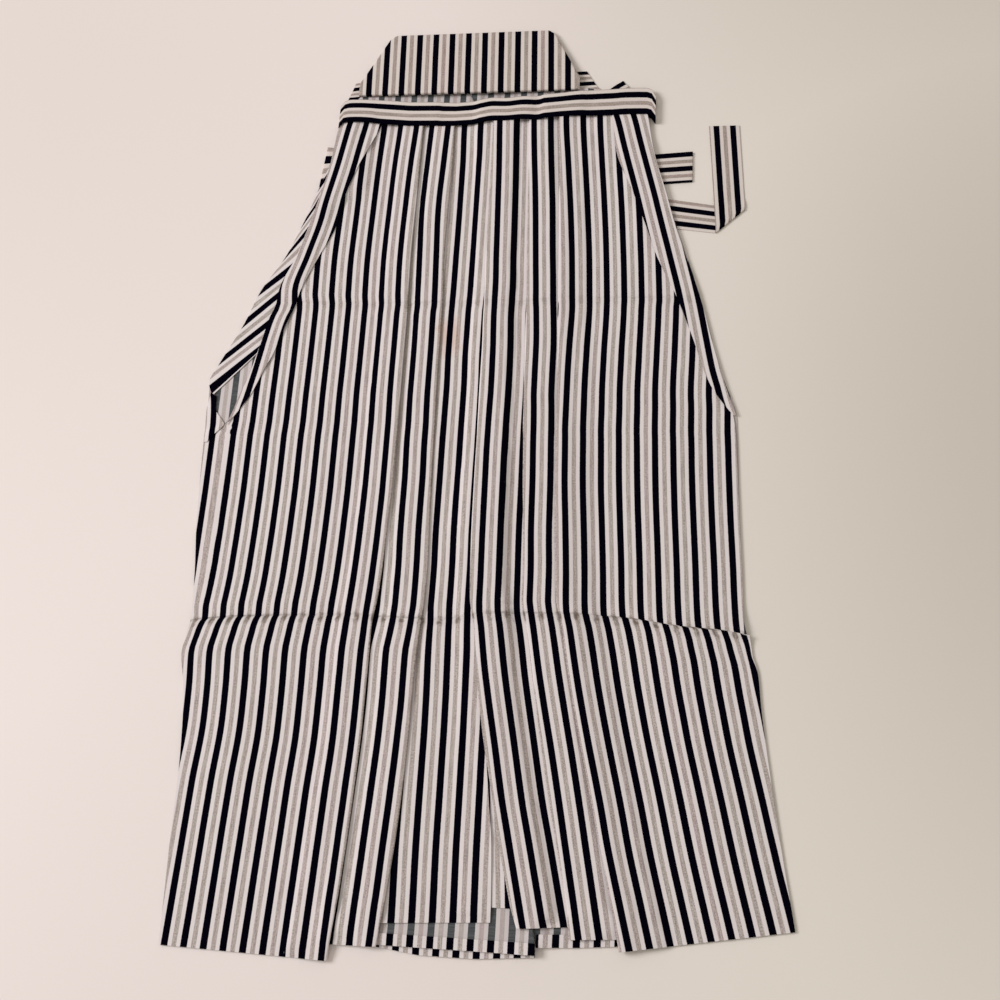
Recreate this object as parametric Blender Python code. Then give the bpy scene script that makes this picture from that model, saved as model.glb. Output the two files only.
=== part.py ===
"""Striped hakama trousers, laid flat with the front up: each cloth piece is a thin wall laid on the ones below.

Tables are in millimetres in the waist frame: x across (the wearer's left is +x), y up towards the waist, z up,
with the origin at the middle of the waist. The finished pile is moved so that its footprint is centred on 0, 0.
"""

from collections import namedtuple

import bmesh
import bpy
import numpy as np

MM = 0.001
WALL = 1.0  # cloth wall
GAP = 0.3  # air between two layers
REACH = 10.0  # how far beyond an edge below the cloth takes to come down
WIDE_REACH = 22.0  # the same for the wide panels, whose points are further apart
CELL = 4.0  # cell of the height map that the layers are laid on
PLEAT_DEPTH_WAIST = 20.0
PLEAT_DEPTH_HEM = 33.0
WAIST_Y = 14.0
HEM_Y = -925.0
CREASE_HEIGHT = 3.0  # ridge at the lower storage crease
CREASE_Y = -600.0
CREASE_WIDTH = 16.0

STRIPED = (0.55, 0.51, 0.48, 1)
REVERSE = (0.60, 0.60, 0.62, 1)
CLOTH_ROUGHNESS = 0.75

# The wearer's right half of the front: outer edge, the two pleat folds and the edge at the centre.
Right = namedtuple("Right", "y side first second centre")
FRONT_RIGHT = [
    Right(WAIST_Y, -184, -87, -50, 8),
    Right(-12, -186, -87.5, -50, 9),
    Right(-60, -194, -88, -49.5, 11),
    Right(-120, -208, -88.5, -50.5, 14),
    Right(-180, -225, -89.5, -51, 16),
    Right(-240, -237, -88, -48.5, 18),
    Right(-300, -250, -88, -48.5, 19),
    Right(-345, -264, -88, -48, 20),
    Right(-368, -275.5, -88, -47.5, 20),
    Right(-387, -285, -88, -47, 20),
    Right(-400, -309, -88, -47, 21),
    Right(-450, -307.5, -88, -46, 22),
    Right(-500, -305, -90, -44.5, 23),
    Right(-550, -300, -92, -43, 24),
    Right(-585, -297, -94.5, -43.5, 25),
    Right(-600, -296, -96.5, -45, 26),
    Right(-615, -299, -98, -46.5, 27),
    Right(-640, -302, -98, -48, 28),
    Right(-680, -295.5, -98.5, -49, 29),
    Right(-720, -291.5, -99, -49.5, 30),
    Right(-780, -289, -101.5, -52, 36),
    Right(-820, -289, -103.5, -54.5, 41),
    Right(-880, -288, -107.5, -60, 44),
]

# The wearer's left half: outer edge and its three pleat folds, outermost first.
Left = namedtuple("Left", "y side outer middle inner")
FRONT_LEFT = [
    Left(WAIST_Y, 172, 73, 38, -4),
    Left(-12, 174, 73, 38, -4),
    Left(-60, 183, 76, 40, -3.5),
    Left(-120, 199, 78, 42, -3),
    Left(-180, 217, 80, 44, -2.5),
    Left(-240, 235, 82, 46.5, -1),
    Left(-300, 251, 84, 47.5, 0),
    Left(-345, 264, 85, 48.7, 0),
    Left(-368, 273, 85.7, 49.5, 0.3),
    Left(-387, 276, 86, 50, 0.5),
    Left(-400, 277, 86.5, 51, 0.7),
    Left(-450, 279, 88, 53, 1),
    Left(-500, 281, 89.5, 56, 1.5),
    Left(-550, 283.5, 92.5, 58, 3),
    Left(-585, 284.5, 96, 59.5, 5),
    Left(-600, 285, 99, 62, 8),
    Left(-615, 292, 102, 66, 11),
    Left(-640, 297.5, 106.5, 70.5, 15),
    Left(-680, 301.5, 115, 77.5, 20),
    Left(-720, 306.5, 124, 84.5, 27),
    Left(-780, 315, 138, 96, 40),
    Left(-820, 321, 147.5, 105, 48),
    Left(-880, 331, 161.5, 118, 63),
]

# Where each front edge meets the hem.
HEM = {
    "side_right": (-287, -937),
    "first": (-114, -941),
    "first_under": (-147, -926),
    "second": (-66, -925),
    "second_under": (-99, -902),
    "centre": (44, -893),
    "centre_under": (20, -882),
    "inner_under": (96, -882),
    "inner": (70, -900),
    "middle_under": (158, -892),
    "middle": (125, -907),
    "outer_under": (205, -901),
    "outer": (172, -914),
    "side_left": (332, -887),
}

# Outer edges of the two back panels, wider than the front beside the slits.
Back = namedtuple("Back", "y right seam left")
BACK = [
    Back(40, -160, -38, 90),
    Back(24, -176, -30, 150),
    Back(-12, -184, -20, 173),
    Back(-60, -196.5, -10, 184),
    Back(-110, -209, -4, 198),
    Back(-140, -224, -2, 209),
    Back(-180, -239, 0, 222),
    Back(-223, -264, 0, 235),
    Back(-270, -282, 1, 247.5),
    Back(-317, -303, 1, 260),
    Back(-335, -311, 1, 265.5),
    Back(-372, -309.5, 2, 277.5),
    Back(-450, -306.5, 3, 280),
    Back(-520, -302.5, 5, 282),
    Back(-585, -296, 10, 284),
    Back(-640, -300, 22, 296.5),
    Back(-720, -290.5, 42, 305.5),
    Back(-800, -288, 62, 317),
    Back(-860, -288, 78, 327),
]
BACK_HEM_RIGHT = [(-286, -931), (-120, -932), (-108, -923), (-66, -925), (-25, -930), (30, -930), (89, -925)]
BACK_HEM_LEFT = [(89, -916), (125, -914), (168, -910), (330, -883)]

# The wearer's right slit edge of the back, folded over the panel: fold edge and raw edge, from the top.
Facing = namedtuple("Facing", "fold_x fold_y raw_x raw_y")
SLIT_FACING = [
    Facing(-190, -36, -180, -14),
    Facing(-206, -88, -190, -60),
    Facing(-222, -135, -205, -103),
    Facing(-239, -179, -213, -140),
    Facing(-264, -222.5, -228, -191),
    Facing(-278.5, -262.5, -238, -223.5),
    Facing(-300.5, -309, -246, -259.5),
    Facing(-311, -335, -252.5, -282),
    Facing(-308.5, -345.5, -256, -294),
    Facing(-306, -352, -258, -299),
]
SLIT_CORNER = [
    (-307.5, -349, -301, -353),
    (-310, -369, -300, -368),
    (-309, -388, -288, -386.5),
    (-308.5, -400, -290, -402),
    (-308.5, -420, -295, -420),
    (-308, -440, -305, -440),
]

# The straight strips sewn along the slits of the front.
Strip = namedtuple("Strip", "y outer inner")
SLIT_STRIP_RIGHT = [
    Strip(WAIST_Y, -184, -152),
    Strip(-5, -188, -156),
    Strip(-60, -197.5, -161),
    Strip(-100, -206.5, -174),
    Strip(-140, -217, -182),
    Strip(-180, -228, -199),
    Strip(-220, -238, -215),
    Strip(-250, -244, -223),
    Strip(-290, -252, -237),
    Strip(-325, -258, -247),
    Strip(-345, -263, -257),
    Strip(-365, -272, -267),
    Strip(-386, -286, -283),
]
SLIT_STRIP_LEFT = [
    Strip(WAIST_Y, 172, 128),
    Strip(-5, 176, 135),
    Strip(-50, 183.5, 141),
    Strip(-105, 198.5, 162),
    Strip(-155, 212, 180),
    Strip(-180, 220, 188),
    Strip(-245, 239.5, 215),
    Strip(-290, 251.5, 232.5),
    Strip(-320, 260, 242.5),
    Strip(-340, 266, 251),
    Strip(-358, 272, 263),
    Strip(-372, 277, 274),
]

GUSSET = [((-10, -440), (14, -440)), ((-38, -680), (51, -680)), ((-62, -890), (84, -890)), ((-66, -923), (89, -923))]
GUSSET_TURN = 11.0
BACK_TURN = 12.0

# The front tie across the waist.
Band = namedtuple("Band", "x low high")
WAIST_BAND = [
    Band(-190, -9, 19),
    Band(-186.5, -5.2, 24.5),
    Band(-180, -4, 27),
    Band(-164, -4.1, 27),
    Band(-128, -8, 24),
    Band(-104, -10.1, 21.4),
    Band(-50, -11.2, 19.3),
    Band(-32, -10.5, 20.3),
    Band(-8, -7.1, 23.7),
    Band(12, -7.4, 22.4),
    Band(52, -6.1, 25.4),
    Band(112, -3.4, 30.4),
    Band(148, -2.5, 32),
    Band(175, -3.2, 31.2),
    Band(181, -6, 28),
    Band(184.5, -12, 20),
]
BAND_RETURN = 40.0

# The stiff back board, cloth covered: half width of its outline from the waist end to the top.
Board = namedtuple("Board", "y half")
BACK_BOARD = [
    Board(32, 134),
    Board(50, 134),
    Board(58, 128),
    Board(90, 112),
    Board(112, 101),
    Board(118, 93),
]
BOARD_X = -37.0
BOARD_THICK = 5.0
BOARD_LOW = 0.0
BOARD_HIGH = 5.0
BOARD_EDGE = 2.0

# Straps beside the garment: the two corners at the near end, at the fold if there is one, and at the far end.
TIE_TAIL = [((178, -108), (178, -144)), ((287, -128), (254, -154.5)), ((280, -20), (246, -20))]
TIE_LOOP = [((165, -58), (165, -93)), ((228, -52), (228, -88)), ((165, -44), (165, -79))]
TIE_BUNDLE = [((-166, -46), (-166, -81)), ((-202, -36), (-208, -88)), ((-166, -40), (-166, -75))]
BACK_TIE_RIGHT = [((-166, 57), (-183, 27)), ((-105, 57), (-105, 27))]
BACK_TIE_LEFT = [((30, 60), (30, 28)), ((103, 61), (120, 33))]
BACK_TIE_LEFT_END = [((100, 42), (100, 12)), ((147, 46), (157, 33))]


def clear_scene():
    for item in list(bpy.data.objects):
        bpy.data.objects.remove(item, do_unlink=True)


class Pile:
    """The height of what already lies at each place, on a square grid."""

    LEFT, BOTTOM, RIGHT, TOP = -340.0, -970.0, 360.0, 150.0

    def __init__(self):
        columns = int((self.RIGHT - self.LEFT) / CELL)
        rows = int((self.TOP - self.BOTTOM) / CELL)
        self.height = np.zeros((columns, rows))

    def cell(self, x, y):
        column = np.clip((x - self.LEFT) / CELL, 0, self.height.shape[0] - 1.001)
        row = np.clip((y - self.BOTTOM) / CELL, 0, self.height.shape[1] - 1.001)
        return column, row

    def add(self, x, y, top):
        """Marks a laid grid of points, and the surface between them, with its upper height."""
        steps = np.linspace(0, 1, 19)
        for s in steps:
            for t in steps:
                blend = [
                    (1 - s) * ((1 - t) * v[:-1, :-1] + t * v[:-1, 1:]) + s * ((1 - t) * v[1:, :-1] + t * v[1:, 1:])
                    for v in (x, y, top)
                ]
                column, row = self.cell(blend[0], blend[1])
                np.maximum.at(self.height, (np.rint(column).astype(int), np.rint(row).astype(int)), blend[2])

    def raise_crease(self):
        """The front stands up a little along the lower storage crease."""
        y = self.BOTTOM + CELL * np.arange(self.height.shape[1])
        ridge = CREASE_HEIGHT * np.exp(-(((y - CREASE_Y) / CREASE_WIDTH) ** 2))
        self.height = np.where(self.height > 0, self.height + ridge, 0)

    def under(self, x, y, reach):
        """The height that a cloth at these points rests on: the highest place within reach, then softened."""
        spread = int(round(reach / CELL))
        soft = int(round(0.5 * reach / CELL))
        wide = self.height
        for axis in (0, 1):
            for _ in range(spread):
                before = np.roll(wide, 1, axis)
                after = np.roll(wide, -1, axis)
                wide = np.maximum(wide, np.maximum(before, after))
        for axis in (0, 1):
            wide = sum(np.roll(wide, k, axis) for k in range(-soft, soft + 1)) / (2 * soft + 1)
        column, row = self.cell(x, y)
        i, j = column.astype(int), row.astype(int)
        return np.max([wide[i, j], wide[i + 1, j], wide[i, j + 1], wide[i + 1, j + 1]], axis=0)


class Layer:
    """One flat stretch of cloth: a grid of points across it, its columns in order along the cloth, and its height."""

    def __init__(self, x, y):
        self.x, self.y = x, y
        self.z = None

    def lay(self, pile, reach=REACH):
        self.z = pile.under(self.x, self.y, reach)
        self.z = np.where(self.z > 0, self.z + GAP, 0)
        pile.add(self.x, self.y, self.z + WALL)
        return self


def between(start, end, columns, power=1.0):
    """A stretch between two edges that have the same number of points."""
    start, end = np.array(start, float), np.array(end, float)
    fraction = np.linspace(0, 1, columns) ** power
    return Layer(*(start[:, k : k + 1] + (end - start)[:, k : k + 1] * fraction for k in (0, 1)))


def wall_mesh(outer, inner):
    """Closes two grids of points, one for each side of the cloth, into one wall."""
    rows, columns = outer.shape[:2]
    points = np.concatenate([outer.reshape(-1, 3), inner.reshape(-1, 3)]) * MM
    side = rows * columns

    def at(i, j, inside):
        return inside * side + i * columns + j

    faces = []
    for inside in (0, 1):
        for i in range(rows - 1):
            for j in range(columns - 1):
                faces.append([at(i, j, inside), at(i, j + 1, inside), at(i + 1, j + 1, inside), at(i + 1, j, inside)])
    for j in range(columns - 1):
        for i in (0, rows - 1):
            faces.append([at(i, j, 0), at(i, j + 1, 0), at(i, j + 1, 1), at(i, j, 1)])
    for i in range(rows - 1):
        for j in (0, columns - 1):
            faces.append([at(i, j, 0), at(i + 1, j, 0), at(i + 1, j, 1), at(i, j, 1)])
    return points, faces


def folded(layers):
    """One cloth that runs through its layers in turn, folded over at each join."""
    faces = ([], [])
    for number, layer in enumerate(layers):
        top = np.stack([layer.x, layer.y, layer.z + WALL], axis=2)
        bottom = np.stack([layer.x, layer.y, layer.z], axis=2)
        for other, end, beside in ((number - 1, 0, 1), (number + 1, -1, -2)):
            if not 0 <= other < len(layers):
                continue
            far_end = -1 if end == 0 else 0
            above = layers[other].z[:, far_end].mean() > layer.z[:, end].mean()
            inside = top if above else bottom
            step = (inside[:, beside] - inside[:, end])[:, :2]
            inside[:, end, :2] += WALL * step / np.linalg.norm(step, axis=1, keepdims=True)
        turned = number % 2
        faces[turned].append(top)
        faces[1 - turned].append(bottom)
    return wall_mesh(np.concatenate(faces[0], axis=1), np.concatenate(faces[1], axis=1))


def material(name, colour, roughness=CLOTH_ROUGHNESS):
    made = bpy.data.materials.new(name)
    made.use_nodes = True
    shader = made.node_tree.nodes["Principled BSDF"]
    shader.inputs["Base Color"].default_value = colour
    shader.inputs["Roughness"].default_value = roughness
    shader.inputs["Metallic"].default_value = 0.0
    return made


def add_piece(name, points, faces, colour=STRIPED):
    mesh = bpy.data.meshes.new(name)
    mesh.from_pydata(points.tolist(), [], faces)
    shape = bmesh.new()
    shape.from_mesh(mesh)
    bmesh.ops.recalc_face_normals(shape, faces=shape.faces)
    if shape.calc_volume(signed=True) < 0:
        bmesh.ops.reverse_faces(shape, faces=shape.faces)
    shape.to_mesh(mesh)
    shape.free()
    mesh.materials.append(material(name + "_cloth", colour))
    piece = bpy.data.objects.new(name, mesh)
    bpy.context.collection.objects.link(piece)
    return piece


def pleat_depth(y):
    return np.interp(y, [HEM_Y, WAIST_Y], [PLEAT_DEPTH_HEM, PLEAT_DEPTH_WAIST])


def edge(table, column, hem, offset=0, depth=0):
    """One long edge down the garment, and its point on the hem."""
    points = [(getattr(row, column) + offset + depth * pleat_depth(row.y), row.y) for row in table]
    return points + [HEM[hem]]


def ties(pile):
    """The straps go down first: they run out from under the garment."""
    for name, stations in (
        ("front_tie_tail", TIE_TAIL),
        ("front_tie_loop", TIE_LOOP),
        ("front_tie_bundle", TIE_BUNDLE),
        ("back_tie_left_end", BACK_TIE_LEFT_END),
        ("back_tie_left", BACK_TIE_LEFT),
        ("back_tie_right", BACK_TIE_RIGHT),
    ):
        layers = []
        for near, far in zip(stations, stations[1:]):
            across = [np.linspace(*ends, 4) for ends in (near, far)]
            layers.append(between(*across, 7).lay(pile))
        add_piece(name, *folded(layers))


def waist_band():
    """The band's top stretch, and at each end the return that goes behind the garment."""

    def stretch(xs):
        low, high = (np.interp(xs, [row.x for row in WAIST_BAND], [getattr(row, k) for row in WAIST_BAND])
                     for k in ("low", "high"))
        share = np.linspace(0, 1, 4)[:, None]
        return Layer(np.tile(xs, (4, 1)), low + (high - low) * share)

    left, right = WAIST_BAND[0].x, WAIST_BAND[-1].x
    return [
        stretch(np.linspace(left + BAND_RETURN, left, 4)),
        stretch(np.linspace(left, right, 36)),
        stretch(np.linspace(right, right - BAND_RETURN, 4)),
    ]


def back_panel(outer, seam, hem, columns=14):
    """A back panel from the waist down to its hem, which runs unevenly."""
    hem = np.array(hem, float)
    panel = between(outer + [tuple(hem[0])], seam + [tuple(hem[-1])], columns)
    panel.y[-1] = np.interp(panel.x[-1], *hem[hem[:, 0].argsort()].T)
    return panel


def hem_turn(hem, low, high, depth, columns=9):
    """The hem allowance, turned up on to the panel: a strip along the hem."""
    hem = np.array(hem, float)
    x = np.linspace(low, high, columns)
    y = np.interp(x, *hem[hem[:, 0].argsort()].T)
    return Layer(np.stack([x] * 3), y + np.linspace(0, depth, 3)[:, None])


def backs(pile):
    """The back, wrong side up, with its slit edge and hems turned over."""
    right = [(row.right, row.y) for row in BACK]
    left = [(row.left, row.y) for row in BACK]
    seams = [[(row.seam + side * GAP / 2, row.y) for row in BACK] for side in (-1, 1)]
    meeting = BACK_HEM_RIGHT[-1][0]
    right_hem = BACK_HEM_RIGHT[:-1] + [(meeting - GAP / 2, BACK_HEM_RIGHT[-1][1])]
    left_hem = BACK_HEM_LEFT[::-1][:-1] + [(meeting + GAP / 2, BACK_HEM_LEFT[0][1])]
    pieces = (
        ("back_right_panel", back_panel(right, seams[0], right_hem), REVERSE),
        ("back_left_panel", back_panel(left, seams[1], left_hem), REVERSE),
        ("back_right_slit_facing", between(*slit_facing_edges(), 5), STRIPED),
        ("back_right_hem_turn", hem_turn(right_hem, -104, meeting - GAP, BACK_TURN, 12), STRIPED),
        ("back_left_hem_turn", hem_turn(left_hem, meeting + GAP, 180, BACK_TURN), STRIPED),
        ("gusset", gusset(), REVERSE),
        ("gusset_hem_turn", hem_turn(GUSSET[-1], *(corner[0] for corner in GUSSET[-1]), GUSSET_TURN), STRIPED),
    )
    for name, layer, colour in pieces:
        reach = WIDE_REACH if name.endswith("_panel") else REACH
        add_piece(name, *folded([layer.lay(pile, reach)]), colour)


def slit_facing_edges():
    return [(row.fold_x, row.fold_y) for row in SLIT_FACING], [(row.raw_x, row.raw_y) for row in SLIT_FACING]


def gusset():
    """The wedge between the legs, with enough rows to lie on the back."""
    corners = np.array(GUSSET, float)
    y = np.linspace(corners[0, 0, 1], corners[-1, 0, 1], 12)
    edges = [np.interp(-y, -corners[:, side, 1], corners[:, side, 0]) for side in (0, 1)]
    return between(np.stack([edges[0], y], axis=1), np.stack([edges[1], y], axis=1), 9)


def fronts(pile):
    """Both halves of the front. Each is one cloth folded into its pleats, the centre lowest and the side on top."""
    first = edge(FRONT_RIGHT, "first", "first")
    first_under = edge(FRONT_RIGHT, "first", "first_under", depth=-1)
    second = edge(FRONT_RIGHT, "second", "second")
    second_under = edge(FRONT_RIGHT, "second", "second_under", depth=-1)
    inner = edge(FRONT_LEFT, "inner", "inner")
    inner_under = edge(FRONT_LEFT, "inner", "inner_under", depth=1)
    middle = edge(FRONT_LEFT, "middle", "middle")
    middle_under = edge(FRONT_LEFT, "middle", "middle_under", depth=1)
    outer = edge(FRONT_LEFT, "outer", "outer")
    outer_under = edge(FRONT_LEFT, "outer", "outer_under", depth=1)
    under_end = edge(FRONT_RIGHT, "centre", "centre_under", offset=-24)
    right = [
        between(edge(FRONT_RIGHT, "centre", "centre"), second_under, 9),
        between(second_under, second, 4),
        between(second, first_under, 7),
        between(first_under, first, 4),
        between(first, edge(FRONT_RIGHT, "side", "side_right"), 12, power=1.4),
    ]
    left = [
        between(under_end, inner_under, 7),
        between(inner_under, inner, 4),
        between(inner, middle_under, 8),
        between(middle_under, middle, 4),
        between(middle, outer_under, 7),
        between(outer_under, outer, 4),
        between(outer, edge(FRONT_LEFT, "side", "side_left"), 12, power=1.4),
    ]
    for layer in [left[0]] + right + left[1:]:
        layer.lay(pile, WIDE_REACH if layer in (right[-1], left[-1]) else REACH)
    add_piece("front_right_panel", *folded(right))
    add_piece("front_left_panel", *folded(left))


def slit_trims(pile):
    """The corner at the foot of the right slit, then the straight strip down each slit."""
    corner = [[(row[k], row[k + 1]) for row in SLIT_CORNER] for k in (0, 2)]
    add_piece("slit_corner_right", *folded([between(*corner, 3).lay(pile)]))
    for name, table in (("slit_strip_right", SLIT_STRIP_RIGHT), ("slit_strip_left", SLIT_STRIP_LEFT)):
        edges = [[(getattr(row, side), row.y) for row in table] for side in ("outer", "inner")]
        add_piece(name, *folded([between(*edges, 4).lay(pile)]))


def back_board():
    """The stiff board: its waist end is raised on the ties, and its rim is chamfered."""
    table = [(row.y, row.half) for row in BACK_BOARD]
    top_y = table[-1][0]
    y = np.array([table[0][0]] + [table[0][0] + BOARD_EDGE] + [row[0] for row in table[1:-1]]
                 + [top_y - BOARD_EDGE, top_y])
    half = np.interp(y, *np.array(table, float).T)
    across = np.array([-1, -0.98, -0.5, 0, 0.5, 0.98, 1])
    x = BOARD_X + half[:, None] * across
    rows = np.tile(y[:, None], (1, across.size))
    base = np.interp(rows, [table[0][0], top_y], [BOARD_HIGH, BOARD_LOW])
    rim = np.ones_like(x)
    rim[1:-1, 1:-1] = 0
    top = np.stack([x, rows, base + BOARD_THICK - BOARD_EDGE * rim], axis=2)
    bottom = np.stack([x, rows, base + BOARD_EDGE * rim], axis=2)
    add_piece("back_board", *wall_mesh(top, bottom))


def centre_footprint():
    """Moves the finished pile so that its footprint is centred on 0, 0."""
    corners = np.array([vertex.co for piece in bpy.data.objects for vertex in piece.data.vertices])
    middle = (corners.min(axis=0) + corners.max(axis=0)) / 2
    for piece in bpy.data.objects:
        for vertex in piece.data.vertices:
            vertex.co.x -= middle[0]
            vertex.co.y -= middle[1]


def main():
    clear_scene()
    pile = Pile()
    band = waist_band()
    for end in (band[0], band[2]):
        end.lay(pile)
    ties(pile)
    backs(pile)
    pile.raise_crease()
    fronts(pile)
    slit_trims(pile)
    add_piece("front_tie_band", *folded([band[0], band[1].lay(pile, WIDE_REACH), band[2]]))
    back_board()
    centre_footprint()


main()
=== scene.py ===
"""Looks for the striped hakama trousers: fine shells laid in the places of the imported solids.

Tables are in millimetres in the waist frame: x towards the wearer's left, y up towards the waist, z up, with
the origin at the middle of the waist. Each shell is a grid of points that also carries stripe coordinates:
u counts stripe repeats across the cloth and is whole at the middle of each dark stripe, v runs along it.
"""

import math
from collections import namedtuple

import bpy
import numpy as np
from mathutils import Matrix, Vector


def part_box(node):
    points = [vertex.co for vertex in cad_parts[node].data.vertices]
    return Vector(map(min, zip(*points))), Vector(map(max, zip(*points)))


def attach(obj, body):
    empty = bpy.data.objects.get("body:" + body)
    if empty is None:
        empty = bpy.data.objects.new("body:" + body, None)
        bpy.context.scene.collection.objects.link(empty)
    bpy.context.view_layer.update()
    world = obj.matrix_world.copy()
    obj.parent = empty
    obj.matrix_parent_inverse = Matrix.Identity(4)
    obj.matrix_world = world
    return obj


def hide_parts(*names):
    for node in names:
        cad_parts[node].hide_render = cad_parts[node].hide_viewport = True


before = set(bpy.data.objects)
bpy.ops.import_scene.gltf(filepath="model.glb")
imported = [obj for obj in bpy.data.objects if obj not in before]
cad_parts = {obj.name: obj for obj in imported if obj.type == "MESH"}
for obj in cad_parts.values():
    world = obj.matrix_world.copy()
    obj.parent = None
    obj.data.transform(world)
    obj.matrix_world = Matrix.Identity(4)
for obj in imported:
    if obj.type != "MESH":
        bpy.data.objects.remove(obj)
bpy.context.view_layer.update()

MM = 0.001
CLOTH = 0.8  # thickness of a shell
LAYER = 1.0  # height that one layer takes up
AIR = 0.3  # between two layers
REPEAT = 19.6  # one repeat of the stripes
CELL = 2.0  # cell of the height map that the layers are laid on
REACH = 6.0  # how far beyond an edge below the cloth takes to come down
FOLD_STEPS = 4  # points round a fold
FOLD_BULGE = 0.7  # how far the middle of the cloth runs out at a fold
ROW_STEP = 8.0
CREASE_ROW_STEP = 2.5
COLUMN_STEP = 5.0
HEM_ROWS = 7
STRIPE_MAP = "stripes"

UNDER_CENTRE_ASIDE = -24.0  # the left half's lowest stretch reaches this far past the right half's edge
PLEAT_DEPTH_WAIST = 20.0
PLEAT_DEPTH_HEM = 33.0
WAIST_Y = 14.0
LAST_STATION_Y = -880.0
HEM_Y = -925.0

# The wearer's right half of the front: outer edge, the two pleat folds, the edge at the centre, one dark
# stripe of each panel, and the stripe repeat.
Right = namedtuple("Right", "y side first second centre dark_first dark_second dark_centre repeat")
FRONT_RIGHT = [
    Right(WAIST_Y, -184, -87, -50, 8, -95, -57, -19, 19.8),
    Right(-12, -186, -87.5, -50, 9, -96, -58, -19, 19.8),
    Right(-60, -194, -88, -49.5, 11, -99, -60, -18, 19.5),
    Right(-120, -208, -88.5, -50.5, 14, -101, -62, -18, 19.3),
    Right(-180, -225, -89.5, -51, 16, -102, -60, -18, 19.5),
    Right(-228, -236, -88.5, -49, 17, -100.5, -58.2, -18, 19.6),
    Right(-240, -237, -88, -48.5, 18, -99.5, -57.8, -18.5, 19.4),
    Right(-252, -240, -88, -48.5, 18, -100, -58.5, -19, 19.2),
    Right(-300, -250, -88, -48.5, 19, -100, -58, -19, 19.2),
    Right(-345, -264, -88, -48, 20, -100, -58, -18, 19.3),
    Right(-368, -275.5, -88, -47.5, 20, -99.5, -57.5, -18, 19.4),
    Right(-387, -285, -88, -47, 20, -99, -57, -18, 19.5),
    Right(-400, -309, -88, -47, 21, -99, -57, -18, 19.6),
    Right(-450, -307.5, -88, -46, 22, -99, -56, -18, 19.6),
    Right(-500, -305, -90, -44.5, 23, -100, -56, -18, 19.6),
    Right(-550, -300, -92, -43, 24, -102, -55, -17, 19.6),
    Right(-585, -297, -94.5, -43.5, 25, -104, -55, -17, 19.7),
    Right(-600, -296, -96.5, -45, 26, -105, -56, -16.5, 19.5),
    Right(-615, -298.5, -98, -46.5, 27, -105.7, -57.5, -16.3, 19.85),
    Right(-640, -302, -98, -48, 28, -107, -60, -15.5, 20.4),
    Right(-680, -295.5, -98.5, -49, 29, -107.5, -60, -14.5, 20.2),
    Right(-720, -291.5, -99, -49.5, 30, -108, -61, -14, 20.1),
    Right(-780, -289, -101.5, -52, 36, -111, -64, -14, 20.3),
    Right(-820, -289, -103.5, -54.5, 41, -113, -66.5, -14, 20.3),
    Right(LAST_STATION_Y, -288, -107.5, -60, 44, -116, -70, -13, 20.3),
]

# The wearer's left half, its three pleat folds outermost first.
Left = namedtuple("Left", "y side outer middle inner dark_outer dark_middle dark_inner dark_under repeat")
FRONT_LEFT = [
    Left(WAIST_Y, 172, 73, 38, -4, 81, 43, 3, 12, 19.6),
    Left(-12, 174, 73, 38, -4, 82, 44, 4, 13.2, 19.6),
    Left(-60, 183, 76, 40, -3.5, 86, 47, 6, 15.5, 19.4),
    Left(-120, 199, 78, 42, -3, 91, 51, 8, 18.3, 19.3),
    Left(-180, 217, 80, 44, -2.5, 95, 54, 9.5, 21.2, 19.2),
    Left(-228, 232, 81.5, 46, -1.3, 97, 56.5, 11, 23.4, 19.2),
    Left(-240, 235, 82, 46.5, -1, 97.5, 57, 11, 24, 19.2),
    Left(-252, 238, 82, 46.5, -1, 98, 58, 11, 24.6, 19.0),
    Left(-300, 251, 84, 47.5, 0, 96.5, 60, 12.5, 26.8, 19.1),
    Left(-345, 264, 85, 48.7, 0, 96, 60, 13, 29, 19.0),
    Left(-368, 273, 85.7, 49.5, 0.3, 96, 61, 12.7, 30, 19.1),
    Left(-387, 276, 86, 50, 0.5, 96, 61.7, 12.5, 30.9, 19.1),
    Left(-400, 277, 86.5, 51, 0.7, 96.5, 62, 12.5, 31.6, 19.1),
    Left(-450, 279, 88, 53, 1, 98, 63.5, 13, 33.9, 19.1),
    Left(-500, 281, 89.5, 56, 1.5, 101, 64.5, 13.5, 36.3, 19.0),
    Left(-550, 283.5, 92.5, 58, 3, 103.5, 66.5, 14.5, 38.6, 19.0),
    Left(-585, 284.5, 94.5, 58.5, 5, 104.6, 67, 15, 40.3, 19.1),
    Left(-600, 285, 97.5, 60.5, 8, 105.8, 69, 16, 41, 19.15),
    Left(-615, 289.8, 101.5, 65, 11, 109.5, 72, 18.5, 42.1, 19.45),
    Left(-640, 297.5, 106.5, 70.5, 15, 115, 77, 22.5, 43.8, 19.9),
    Left(-680, 301.5, 115, 77.5, 20, 123.5, 85.5, 30, 46.7, 19.9),
    Left(-720, 306.5, 124, 84.5, 27, 132.5, 94, 38, 49.5, 19.8),
    Left(-780, 315, 138, 96, 40, 146.5, 106, 49.5, 53.8, 19.8),
    Left(-820, 321, 147.5, 105, 48, 155, 113.5, 58.5, 56.7, 19.9),
    Left(LAST_STATION_Y, 331, 161.5, 118, 63, 170, 125, 72, 61, 19.9),
]

# Where each front edge meets the hem.
HEM = {
    "side_right": (-287, -937),
    "first": (-114, -941),
    "first_under": (-147, -926),
    "second": (-66, -925),
    "second_under": (-99, -905),
    "centre": (44, -896),
    "centre_under": (20, -882),
    "inner_under": (96, -882),
    "inner": (70, -900),
    "middle_under": (158, -892),
    "middle": (120.5, -907),
    "outer_under": (205, -901),
    "outer": (168.5, -915),
    "side_left": (332, -887),
}

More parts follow.
